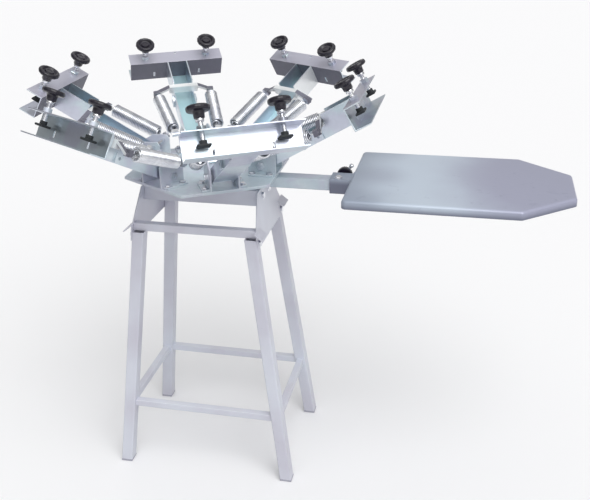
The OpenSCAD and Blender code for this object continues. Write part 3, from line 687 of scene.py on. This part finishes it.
def makeThreadTree():
    # A screw's stem along +Z with one helical ridge
    tree, given, out = newTree("screwThread", "GeometryNodeTree", {
        "Geometry": "Geometry", "Length": 0.037, "Radius": 0.0048, "Pitch": 0.0015, "Ridge": 0.0004,
        "Points Per Turn": 16, "Material": "Material"}, {"Geometry": "Geometry"})
    turns = mathOf(tree, "DIVIDE", given["Length"], given["Pitch"])
    helix = addNode(tree, "GeometryNodeCurveSpiral", {
        "Resolution": given["Points Per Turn"], "Rotations": turns, "Start Radius": given["Radius"],
        "End Radius": given["Radius"], "Height": given["Length"]})
    ring = addNode(tree, "GeometryNodeCurvePrimitiveCircle", {"Resolution": 3, "Radius": given["Ridge"]})
    ridge = addNode(tree, "GeometryNodeCurveToMesh", {
        "Curve": helix, "Profile Curve": ring, "Fill Caps": True})
    stem = addNode(tree, "GeometryNodeMeshCylinder", {
        "Vertices": 20, "Radius": given["Radius"], "Depth": given["Length"]})
    half = mathOf(tree, "DIVIDE", given["Length"], 2.0)
    lift = addNode(tree, "ShaderNodeCombineXYZ", {"Z": half})
    raised = addNode(tree, "GeometryNodeTransform", {"Geometry": stem, "Translation": lift})
    return closeTree(tree, given, joinTree(tree, (ridge, raised)), out)


def makeBoltTree():
    # A hexagon head on a washer at each point, along the point's boltAxis
    tree, given, out = newTree("boltHeads", "GeometryNodeTree", {
        "Geometry": "Geometry", "Flats": 0.012, "Height": 0.005, "Washer": 0.016,
        "Washer Height": 0.001, "Material": "Material"}, {"Geometry": "Geometry"})
    corner = mathOf(tree, "DIVIDE", given["Flats"], 2 * math.cos(math.pi / 6))
    chamfer = mathOf(tree, "MULTIPLY", given["Height"], 0.16)
    aside = mathOf(tree, "ADD", given["Washer Height"], chamfer)
    straight = mathOf(tree, "SUBTRACT", given["Height"], aside)

    def raisedBy(geometry, height):
        place = addNode(tree, "ShaderNodeCombineXYZ", {"Z": height})
        return addNode(tree, "GeometryNodeTransform", {"Geometry": geometry, "Translation": place})

    washer = addNode(tree, "GeometryNodeMeshCylinder", {
        "Vertices": 24, "Radius": mathOf(tree, "DIVIDE", given["Washer"], 2.0),
        "Depth": given["Washer Height"]})
    prism = addNode(tree, "GeometryNodeMeshCylinder", {"Vertices": 6, "Radius": corner, "Depth": straight})
    top = addNode(tree, "GeometryNodeMeshCone", {
        "Vertices": 6, "Radius Top": mathOf(tree, "MULTIPLY", corner, 0.86), "Radius Bottom": corner,
        "Depth": chamfer})
    prismLow = mathOf(tree, "ADD", given["Washer Height"], mathOf(tree, "DIVIDE", straight, 2.0))
    topLow = mathOf(tree, "ADD", given["Washer Height"], straight)
    both = joinTree(tree, (
        raisedBy(washer, mathOf(tree, "DIVIDE", given["Washer Height"], 2.0)),
        raisedBy(prism, prismLow), raisedBy(top, topLow)))
    axis = addNode(tree, "GeometryNodeInputNamedAttribute", {"Name": "boltAxis"}, data_type="FLOAT_VECTOR")
    turned = addNode(tree, "FunctionNodeAlignRotationToVector", {"Vector": axis}, axis="Z")
    spread = addNode(tree, "GeometryNodeInstanceOnPoints", {
        "Points": given["Geometry"], "Instance": both, "Rotation": turned})
    return closeTree(tree, given, spread, out)


def boltMesh(name, tree, places, sizes):
    start = bpy.data.meshes.new(name + "_points")
    start.from_pydata([point for point, axis in places], [], [])
    attribute = start.attributes.new("boltAxis", "FLOAT_VECTOR", "POINT")
    for i, (point, axis) in enumerate(places):
        attribute.data[i].vector = axis
    values = {"Flats": sizes["flats"], "Height": sizes["height"], "Washer": sizes["washer"],
              "Washer Height": sizes["washerHeight"], "Material": materials["chrome"]}
    mesh = growMesh(name, tree, values, start)
    shadeByAngle(mesh, smooth["bolt"])
    return mesh


# Stand, station arm and carousel: CAD nodes with soft edges

# How wide each soft edge is, and how short an edge may be and still get one
softSizes = {
    "legs": (0.0030, 0.10),
    "foot_caps": (0.0026, 0.02),
    "lower_rails": (0.0020, 0.10),
    "upper_bars": (0.0022, 0.10),
    "end_plate_left": (0.0010, 0.008),
    "end_plate_right": (0.0010, 0.008),
    "saddle": (0.0012, 0.012),
    "station_arm": (0.0026, 0.10),
    "pallet_bracket": (0.0010, 0.008),
    "carousel_plate": (0.0011, 0.020),
    "hinge_brackets": (0.0007, 0.005),
}

for node, (width, shortest) in softSizes.items():
    piece = softEdges(node, width, shortest)
    if node in ("carousel_plate", "hinge_brackets", "station_arm"):
        piece.data.materials[0] = hubZinc


# Which faces of a clamp and an arm get painted shade, a painted highlight or a painted reflection; it is the
# same on all heads

# Where the painted shade, highlight and reflection of a clamp or an arm begin, in the head's own frame
paintedLightAt = {
    "facing": 0.7,
    "clampHubX": 0.268,
    "flangeZ": 0.037,
    "yokeX": (0.17, 0.186),
    "wingY": 0.04,
    "barY": 0.039,
    "barZ": 0.013,
    "floorY": 0.027,
}


def hubSide(centre, normal):
    return normal.x < -paintedLightAt["facing"] and centre.x < paintedLightAt["clampHubX"]


def topFlange(centre, normal):
    return normal.z > paintedLightAt["facing"] and centre.z > paintedLightAt["flangeZ"]


def atYoke(centre):
    low, high = paintedLightAt["yokeX"]
    return low < centre.x < high


def yokeWing(centre, normal):
    return abs(centre.y) > paintedLightAt["wingY"] and atYoke(centre)


def yokeBar(centre, normal):
    return abs(centre.y) < paintedLightAt["barY"] and atYoke(centre) and centre.z > paintedLightAt["barZ"]


def armFloor(centre, normal):
    return normal.z > paintedLightAt["facing"] and abs(centre.y) < paintedLightAt["floorY"] and centre.z < 0.0


headSofts = {"arm": (0.0007, 0.006), "clamp": (0.0008, 0.010), "foot": (0.0012, 0.008)}

# Painted shade on a clamp's hub side and on its top flange
clampSides = {"darkToneSide": hubSide, "paintedFlangeShadeSide": topFlange}
# Painted shade on the yoke's wings, a painted highlight on the yoke's bar and a painted reflection on the
# arm's floor
armSides = {"darkToneSide": yokeWing, "brightSide": yokeBar, "paintedReflectionSide": armFloor}
for k in range(1, press["heads"] + 1):
    softEdges(f"arm_{k}", *headSofts["arm"], place=headMatrix(k), sides=armSides)
    softEdges(f"clamp_{k}", *headSofts["clamp"], place=headMatrix(k), sides=clampSides)
    for side in "ab":
        softEdges(f"foot_{side}_{k}", *headSofts["foot"])
print("soft edges made")

for node in ("spindle", "thrust_washer", "hinge_pins"):
    shown = frame["nodes"][node]
    shown.data.materials.clear()
    shown.data.materials.append(materials[slotOf[node]])

# Pallet board


def roundCorners(points, radius, steps=8):
    outline = []
    count = len(points)
    for i, here in enumerate(points):
        toBefore = (points[i - 1] - here).normalized()
        toNext = (points[(i + 1) % count] - here).normalized()
        half = toBefore.angle(toNext) / 2
        centre = here + (toBefore + toNext).normalized() * radius / math.sin(half)
        first = here + toBefore * radius / math.tan(half) - centre
        turn = math.pi - 2 * half
        for step in range(steps + 1):
            angle = math.atan2(first.y, first.x) + turn * step / steps
            outline.append(centre + radius * Vector((math.cos(angle), math.sin(angle))))
    return outline


def palletOutline(inset):
    size = palletSizes
    slope = (size["width"] - size["endWidth"]) / 2 / size["taper"]
    long = math.sqrt(1 + slope * slope)
    low = size["start"] + inset
    bend = size["start"] + size["straight"] - inset * (long - 1) / slope
    end = size["start"] + size["straight"] + size["taper"] - inset
    half = size["width"] / 2 - inset
    endHalf = size["endWidth"] / 2 - inset * (long - slope)
    corners = [(low, -half), (bend, -half), (end, -endHalf), (end, endHalf), (bend, half), (low, half)]
    radius = max(size["leastCorner"], size["corner"] - inset)
    return roundCorners([Vector(corner) for corner in corners], radius)


def palletMesh():
    size = palletSizes
    edge = size["edge"]
    loops = []
    for step in range(size["edgeSteps"] + 1):
        angle = math.pi / 2 * (1 - step / size["edgeSteps"])
        loops.append((edge * (1 - math.cos(angle)), size["topZ"] - edge * (1 - math.sin(angle))))
    bottom = size["topZ"] - size["skirt"]
    lip = size["lip"]
    loops += [(0, bottom + lip), (lip, bottom), (size["sheet"] - lip, bottom)]
    loops += [(size["sheet"], bottom + lip), (size["sheet"], size["topZ"] - size["sheet"])]
    bm = bmesh.new()
    rings = [[bm.verts.new((p.x, p.y, z)) for p in palletOutline(inset)] for inset, z in loops]
    for upper, lower in zip(rings, rings[1:]):
        for i in range(len(upper)):
            j = (i + 1) % len(upper)
            bm.faces.new((upper[i], lower[i], lower[j], upper[j]))
    bm.faces.new(rings[0])
    bm.faces.new(list(reversed(rings[-1])))
    bmesh.ops.recalc_face_normals(bm, faces=bm.faces)
    return meshFrom(bm, "palletBoard")


def cutBox(mesh, low, high):
    # Cuts a box out of a mesh and returns the new mesh
    bm = bmesh.new()
    bmesh.ops.create_cube(bm, size=1.0)
    middle = (Vector(low) + Vector(high)) / 2
    size = Vector(high) - Vector(low)
    bm.transform(Matrix.Translation(middle) @ Matrix.Diagonal((*size, 1.0)))
    holder = placeObject("cutHolder", mesh)
    cutter = placeObject("cutter", meshFrom(bm, "cutter"))
    modifier = holder.modifiers.new("cut", "BOOLEAN")
    modifier.object = cutter
    modifier.operation = "DIFFERENCE"
    modifier.solver = "EXACT"
    result = meshAfterModifiers(holder)
    for made in (holder, cutter):
        bpy.data.objects.remove(made)
    return result


size = palletSizes
notchLow = (size["start"] - size["cutPast"], -size["notchHalf"],
            size["topZ"] - size["skirt"] - size["cutPast"])
notchHigh = (size["start"] + size["sheet"] + size["cutBehind"], size["notchHalf"],
             size["topZ"] - size["edge"] + size["cutAbove"])
trayMesh = cutBox(palletMesh(), notchLow, notchHigh)
shadeByAngle(trayMesh, smooth["pallet"])
newPiece("pallet_top_sheet", trayMesh, "pallet_paint", "pallet", ["pallet_board"])
print("pallet made")

# Bolts

boltSizes = {
    "bracket": {"flats": 0.0119, "height": 0.0049, "washer": 0.0168, "washerHeight": 0.0010},
    "stand": {"flats": 0.0139, "height": 0.0049, "washer": 0.0190, "washerHeight": 0.0011},
}

boltPlaces = {
    "earRadii": (0.122, 0.164),
    "earAcross": 0.044,
    "footX": 0.222,
    "shoulderX": 0.141,
    "legTopZ": 0.664,
    "standBack": 0.008,
    "plateOut": 0.018,
    # distance from the middle and height of the two pairs of bolts in an end plate
    "platePairs": ((0.112, 0.652), (0.028, 0.742)),
}

boltTree = makeBoltTree()
bracketPlaces = []
for k in range(press["heads"]):
    turn = Matrix.Rotation(math.radians(60 * k), 3, "Z")
    for radius in boltPlaces["earRadii"]:
        for hand in (-1, 1):
            point = Vector((radius, hand * boltPlaces["earAcross"], press["earFootTopZ"]))
            bracketPlaces.append((turn @ point, (0, 0, 1)))
bracketBolts = boltMesh("bracketBolts", boltTree, bracketPlaces, boltSizes["bracket"])
newPiece("bracket_bolt_heads", bracketBolts, "chrome", "carousel", ["bracket_bolts"])

size = boltPlaces
legLean = math.atan2(size["shoulderX"] - size["footX"], size["legTopZ"])
standPlaces = []
for side in (-1, 1):
    ends = Matrix.Translation((side * size["footX"] - size["standBack"], 0, 0))
    ends = ends @ Matrix.Rotation(side * legLean, 4, "Y")
    for across, height in size["platePairs"]:
        for hand in (-1, 1):
            point = ends @ Vector((side * size["plateOut"], hand * across, height / math.cos(legLean)))
            standPlaces.append((point, ends.to_3x3() @ Vector((side, 0, 0))))
standBolts = boltMesh("standBolts", boltTree, standPlaces, boltSizes["stand"])
newPiece("stand_bolt_heads", standBolts, "chrome", "stand", ["stand_bolts"])
print("bolts made:", len(bracketPlaces) + len(standPlaces))

# Springs

springSizes = {
    "outside": 0.034,
    "wire": 0.0044,
    "turns": 32,
    "pointsPerTurn": 18,
    "wireSides": 6,
    "plug": 0.012,
    "from": (0.000778, 0.056, 0.03535),
    "to": (0.172, 0.072, 0.014),
    "fromGap": 0.010,
    "toGap": 0.005,
}

size = springSizes
springStart = Vector(size["from"])
springEnd = Vector(size["to"])
springAxis = (springEnd - springStart).normalized()
springLow = springStart + springAxis * size["fromGap"]
springHigh = springEnd - springAxis * size["toGap"]
oneSpring = growMesh("coil", makeSpringTree(), {
    "Length": (springHigh - springLow).length, "Radius": (size["outside"] - size["wire"]) / 2,
    "Wire Radius": size["wire"] / 2, "Turns": float(size["turns"]),
    "Points": size["turns"] * size["pointsPerTurn"], "Plug": size["plug"], "Wire Sides": size["wireSides"],
    "Material": materials["spring_steel"]})
aim = Vector((0, 0, 1)).rotation_difference(springAxis).to_matrix().to_4x4()
mirror = Matrix.Diagonal((1, -1, 1, 1))
for k in range(1, press["heads"] + 1):
    place = headMatrix(k)
    right = place @ Matrix.Translation(springLow) @ aim
    left = place @ mirror @ Matrix.Translation(springLow) @ aim
    mesh = joinMeshes(f"springPair{k}", [(oneSpring, right), (oneSpring, left)])
    for polygon in mesh.polygons:
        polygon.use_smooth = True
    pair = newPiece(f"spring_pair_{k}", mesh, "spring_steel", None, [f"springs_{k}"])
    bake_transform(pair)
print("springs made")

# Clamp screws with their knobs

threadSizes = {
    "stemRadius": 0.0048,
    "pitch": 0.0015,
    "ridge": 0.00042,
    "pointsPerTurn": 16,
    "low": 0.0215,
    "high": 0.0585,
    "tipRadius": 0.004,
    "tipLow": 0.0132,
    "tipEndRadius": 0.0034,
    "tipChamfer": 0.0006,
    "tipLap": 0.0004,
    "tipSides": 20,
}

jamNut = {"low": 0.059, "height": 0.007, "flats": 0.016, "chamfer": 0.0008}

knobSizes = {
    "low": 0.066,
    "segments": 64,
    "grips": 0.00035,
    "gripCount": 16,
    # radius and height above the boss's foot, from the boss's foot round the rim to the middle
    "profile": [
        (0.0052, 0.0), (0.0100, 0.0), (0.0110, 0.0009), (0.0116, 0.0090), (0.0126, 0.0122),
        (0.0150, 0.0138), (0.0206, 0.0141), (0.0226, 0.0146), (0.0240, 0.0158), (0.0248, 0.0176),
        (0.0250, 0.0195), (0.0248, 0.0214), (0.0240, 0.0232), (0.0226, 0.0245), (0.0206, 0.0250),
        (0.0186, 0.0249), (0.0172, 0.0242), (0.0160, 0.0226), (0.0150, 0.0206), (0.0134, 0.0200),
        (0.0116, 0.0203), (0.0108, 0.0222), (0.0100, 0.0238), (0.0088, 0.0240), (0.0062, 0.0240),
        (0.0058, 0.0232), (0.0, 0.0232),
    ],
}

thread = threadSizes
oneThread = growMesh("thread", makeThreadTree(), {
    "Length": thread["high"] - thread["low"], "Radius": thread["stemRadius"], "Pitch": thread["pitch"],
    "Ridge": thread["ridge"], "Points Per Turn": thread["pointsPerTurn"], "Material": materials["chrome"]})
shadeByAngle(oneThread, smooth["screw"])
flat = Matrix.Identity(4)
tip = latheMesh("tip", [
    (thread["tipEndRadius"], thread["tipLow"]),
    (thread["tipRadius"], thread["tipLow"] + thread["tipChamfer"]),
    (thread["tipRadius"], thread["low"] + thread["tipLap"])], thread["tipSides"], flat)
nutCorner = jamNut["flats"] / 2 / math.cos(math.pi / 6)
nutTop = jamNut["low"] + jamNut["height"]
nut = latheMesh("jamNut", [
    (nutCorner - jamNut["chamfer"], jamNut["low"]), (nutCorner, jamNut["low"] + jamNut["chamfer"]),
    (nutCorner, nutTop - jamNut["chamfer"]), (nutCorner - jamNut["chamfer"], nutTop)], 6, flat)
knobPlace = Matrix.Translation((0, 0, knobSizes["low"]))
knob = latheMesh("knob", knobSizes["profile"], knobSizes["segments"], knobPlace,
                 knobSizes["grips"], knobSizes["gripCount"])
for k in range(1, press["heads"] + 1):
    for side, sign in (("a", -1), ("b", 1)):
        body = f"screw_{side}_{k}"
        place = headMatrix(k) @ Matrix.Translation((press["screwS"], sign * press["screwT"], 0))
        metal = joinMeshes(f"stem_{side}_{k}", [
            (oneThread, place @ Matrix.Translation((0, 0, thread["low"]))), (tip, place), (nut, place)])
        shadeByAngle(metal, smooth["screw"])
        newPiece(f"stem_{side}_{k}", metal, "chrome", body)
        plastic = joinMeshes(f"knob_{side}_{k}", [(knob, place)])
        shadeByAngle(plastic, smooth["screw"])
        newPiece(f"knob_{side}_{k}", plastic, "knob_plastic", body, [body])
print("clamp screws made")

# Pallet lock: a knurled knob with a bar through it, and the set screw on the bracket's top


def barOutline(half, ball, bar, steps=8):
    # A round bar with a ball at each end, from the low ball's pole to the high one's
    reach = math.pi - math.asin(bar / ball)
    low = [(0.0, -half - ball)]
    for i in range(1, steps + 1):
        low.append((ball * math.sin(reach * i / steps), -half - ball * math.cos(reach * i / steps)))
    return low + [(radius, -height) for radius, height in reversed(low)]


lockSizes = {
    "at": (0.331, 0.0202, 0.782),
    "knobLow": 0.016,
    "knobHigh": 0.032,
    "knobRadius": 0.019,
    "knurls": 26,
    "knurlDepth": 0.0007,
    "barHalf": 0.028,
    "barRadius": 0.0035,
    "ballRadius": 0.0055,
    "barTurn": math.radians(55),
    "setScrewAt": (0.326, -0.0145, 0.7932),
    "knobFoot": 0.0058,
    "knobChamfer": 0.0016,
    "faceRadius": 0.008,
    "recessRadius": 0.007,
    "recess": 0.001,
    "shankRadius": 0.004,
    "shankEndRadius": 0.0034,
    "shankChamfer": 0.0006,
    "shankShort": 0.004,
    "collarRadius": 0.0062,
    "collarShort": 0.0035,
    "collarLap": 0.0004,
    "sides": 24,
}

lock = lockSizes
lockPlace = Matrix.Translation(lock["at"]) @ Matrix.Rotation(-math.pi / 2, 4, "X")
knobSide = lock["knobRadius"] - lock["knobChamfer"]
knobProfile = [
    (lock["knobFoot"], lock["knobLow"]), (knobSide, lock["knobLow"]),
    (lock["knobRadius"], lock["knobLow"] + lock["knobChamfer"]),
    (lock["knobRadius"], lock["knobHigh"] - lock["knobChamfer"]),
    (knobSide, lock["knobHigh"]), (lock["faceRadius"], lock["knobHigh"]),
    (lock["recessRadius"], lock["knobHigh"] - lock["recess"]), (0.0, lock["knobHigh"] - lock["recess"]),
]
lockKnob = latheMesh("lockKnob", knobProfile, 4 * lock["knurls"], lockPlace,
                     lock["knurlDepth"], lock["knurls"])
newPiece("lock_knob", lockKnob, "knob_plastic", "pallet_lock", ["pallet_lock"])
barPlace = lockPlace @ Matrix.Translation((0, 0, (lock["knobLow"] + lock["knobHigh"]) / 2))
barPlace = barPlace @ Matrix.Rotation(-lock["barTurn"], 4, "Z") @ Matrix.Rotation(math.pi / 2, 4, "Y")
barProfile = barOutline(lock["barHalf"], lock["ballRadius"], lock["barRadius"])
bar = latheMesh("lockBar", barProfile, lock["sides"], barPlace)
shank = latheMesh("lockShank", [
    (lock["shankEndRadius"], 0.0), (lock["shankRadius"], lock["shankChamfer"]),
    (lock["shankRadius"], lock["knobLow"] - lock["shankShort"]),
    (lock["collarRadius"], lock["knobLow"] - lock["collarShort"]),
    (lock["collarRadius"], lock["knobLow"] + lock["collarLap"])], lock["sides"], lockPlace)
lockMetal = joinMeshes("lockMetal", [(bar, flat), (shank, flat)])
shadeByAngle(lockMetal, smooth["lock"])
newPiece("lock_bar", lockMetal, "chrome", "pallet_lock")
setScrew = boltMesh("setScrew", boltTree, [(lock["setScrewAt"], (0, 0, 1))], boltSizes["stand"])
newPiece("bracket_set_screw", setScrew, "chrome", "pallet")
print("pallet lock made")

# Floor, light and camera

camera = {
    "place": (0.63814, -1.86437, 1.46203),
    "yaw": 0.22433,
    "pitch": 0.42767,
    "roll": -0.02016,
    "focalPixels": 837.21,
    "imageWidth": 590,
    "sensorWidth": 36.0,
    "clipEnd": 200,
}

light = {
    "floorColour": (249, 249, 250),
    "backdropColour": (250, 250, 251),
    "floorSize": 60.0,
    "sunFrom": (0.45, -0.62, 1.0),
    "sunStrength": 0.95,
    "sunAngle": math.radians(45),
    "skyLow": 0.36,
    "skyHigh": 0.34,
    "skyLeast": 0.08,
    "bounceColour": (176, 176, 180),
    # azimuth, elevation, strength and sharpness of the sky's bright and dark patches
    "patches": [(314, 38, 1.25, 7.0), (110, 28, 0.16, 8.0), (192, 34, -0.28, 4.0), (72, 34, -0.10, 8.0),
                (250, 60, 0.25, 6.0)],
}

bm = bmesh.new()
bmesh.ops.create_grid(bm, x_segments=1, y_segments=1, size=light["floorSize"] / 2)
floor = placeObject("floor", meshFrom(bm, "floor"))
floorMaterial = bpy.data.materials.new("floorPaper")
floorMaterial.use_nodes = True
floorTree = floorMaterial.node_tree
floorTree.nodes.clear()
paper = addNode(floorTree, "ShaderNodeBsdfDiffuse", {"Color": srgb(light["floorColour"])})
bounce = addNode(floorTree, "ShaderNodeBsdfDiffuse", {"Color": srgb(light["bounceColour"])})
path = addNode(floorTree, "ShaderNodeLightPath").outputs
shown = mathOf(floorTree, "MAXIMUM", path["Is Camera Ray"], path["Is Glossy Ray"])
shown = mathOf(floorTree, "MAXIMUM", shown, path["Is Transmission Ray"])
floorMix = addNode(floorTree, "ShaderNodeMixShader", {0: shown, 1: bounce.outputs[0], 2: paper.outputs[0]})
addNode(floorTree, "ShaderNodeOutputMaterial", {"Surface": floorMix.outputs[0]})
floor.data.materials.append(floorMaterial)


def directionOf(azimuth, elevation):
    a, e = math.radians(azimuth), math.radians(elevation)
    return (math.cos(e) * math.cos(a), math.cos(e) * math.sin(a), math.sin(e))


world = bpy.data.worlds.new("studio")
bpy.context.scene.world = world
world.use_nodes = True
sky = world.node_tree
sky.nodes.clear()
look = addNode(sky, "ShaderNodeTexCoord").outputs["Generated"]
height = addNode(sky, "ShaderNodeSeparateXYZ", {"Vector": look}).outputs["Z"]
level = rangeOf(sky, height, 0.0, 1.0, light["skyLow"], light["skyLow"] + light["skyHigh"])
for azimuth, elevation, strength, sharpness in light["patches"]:
    toward = directionOf(azimuth, elevation)
    near = addNode(sky, "ShaderNodeVectorMath", {0: look, 1: toward}, operation="DOT_PRODUCT")
    spot = mathOf(sky, "POWER", mathOf(sky, "MAXIMUM", near.outputs["Value"], 0.0), sharpness)
    level = mathOf(sky, "ADD", level, mathOf(sky, "MULTIPLY", spot, strength))
level = mathOf(sky, "MAXIMUM", level, light["skyLeast"])
seen = addNode(sky, "ShaderNodeLightPath").outputs["Is Camera Ray"]
pale = addNode(sky, "ShaderNodeBackground", {"Color": srgb(light["backdropColour"]), "Strength": 1.0})
soft = addNode(sky, "ShaderNodeBackground", {"Color": (1.0, 1.0, 1.0, 1.0), "Strength": level})
both = addNode(sky, "ShaderNodeMixShader", {0: seen, 1: soft.outputs[0], 2: pale.outputs[0]})
addNode(sky, "ShaderNodeOutputWorld", {"Surface": both.outputs[0]})

lamp = bpy.data.lights.new("sun", "SUN")
lamp.energy = light["sunStrength"]
lamp.angle = light["sunAngle"]
sun = placeObject("sun", lamp)
sun.rotation_euler = Vector(light["sunFrom"]).to_track_quat("Z", "Y").to_euler()

yaw, pitch, roll = camera["yaw"], camera["pitch"], camera["roll"]
ahead = Vector((-math.sin(yaw) * math.cos(pitch), math.cos(yaw) * math.cos(pitch), -math.sin(pitch)))
sideways = Vector((math.cos(yaw), math.sin(yaw), 0))
upright = sideways.cross(ahead)
right = sideways * math.cos(roll) + upright * math.sin(roll)
up = upright * math.cos(roll) - sideways * math.sin(roll)
view = bpy.data.cameras.new("camera")
view.sensor_fit = "HORIZONTAL"
view.sensor_width = camera["sensorWidth"]
view.lens = camera["focalPixels"] / camera["imageWidth"] * camera["sensorWidth"]
view.clip_end = camera["clipEnd"]
eye = placeObject("camera", view)
eye.matrix_world = Matrix.Translation(camera["place"]) @ Matrix((right, up, -ahead)).transposed().to_4x4()
bpy.context.scene.camera = eye
bpy.context.scene.view_settings.view_transform = "Standard"
print("scene made")
